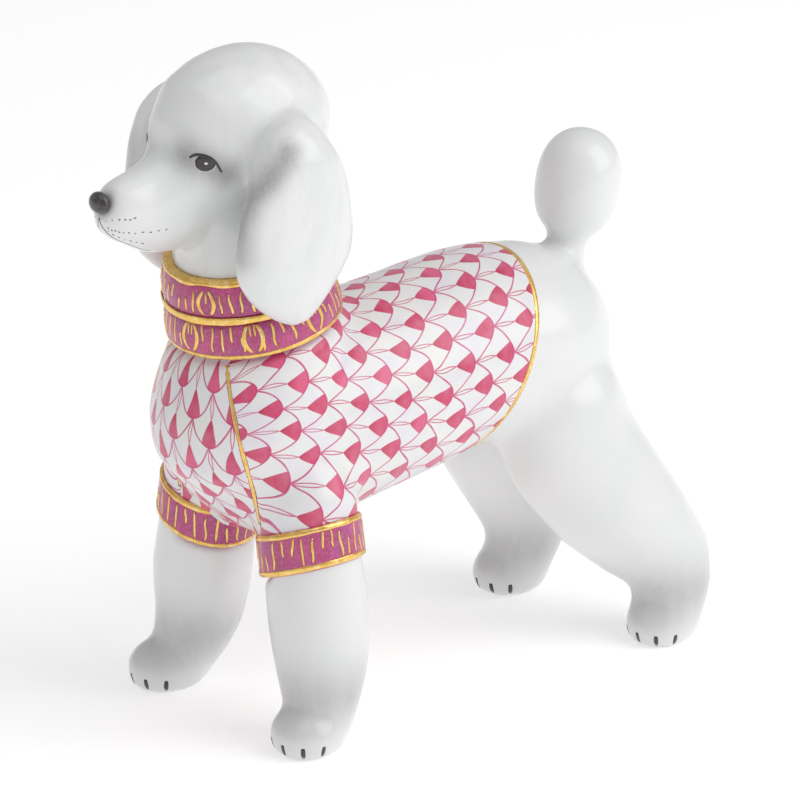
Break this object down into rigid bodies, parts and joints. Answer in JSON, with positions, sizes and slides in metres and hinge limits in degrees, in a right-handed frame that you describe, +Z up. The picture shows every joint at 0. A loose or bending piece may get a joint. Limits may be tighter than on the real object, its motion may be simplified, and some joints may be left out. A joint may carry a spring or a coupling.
{
  "type": "ceramic dog figurine",
  "caption": "Standing glazed porcelain poodle figurine in a painted, gilded roll-neck sweater, with topknot, hanging ears, cuffed forelegs and a pompom tail.",
  "frame": {"origin": "On the ground, below the middle of the figurine's bounding box.", "axes": "+Z up, the dog faces -Y, its left side is +X."},
  "size_m": [0.0458, 0.1036, 0.1056],
  "materials": {
    "porcelain": "gloss",
    "painted_sweater": "gloss",
    "mauve_trim": "gloss",
    "gilding": "polished",
    "nose_black": "gloss"
  },
  "bodies": {
    "root": {"torso": "painted_sweater", "rump": "porcelain", "neck": "porcelain", "head": "porcelain", "tail": "porcelain", "nose": "nose_black", "collar_lower_roll": "mauve_trim", "collar_upper_roll": "mauve_trim", "hem_band": "gilding", "collar_base_band": "gilding", "collar_fold_band": "gilding", "collar_top_band": "gilding", "ear_left": "porcelain", "foreleg_left": "porcelain", "hindleg_left": "porcelain", "cuff_left": "mauve_trim", "cuff_upper_band_left": "gilding", "cuff_lower_band_left": "gilding", "ear_right": "porcelain", "foreleg_right": "porcelain", "hindleg_right": "porcelain", "cuff_right": "mauve_trim", "cuff_upper_band_right": "gilding", "cuff_lower_band_right": "gilding"}
  },
  "joints": []
}
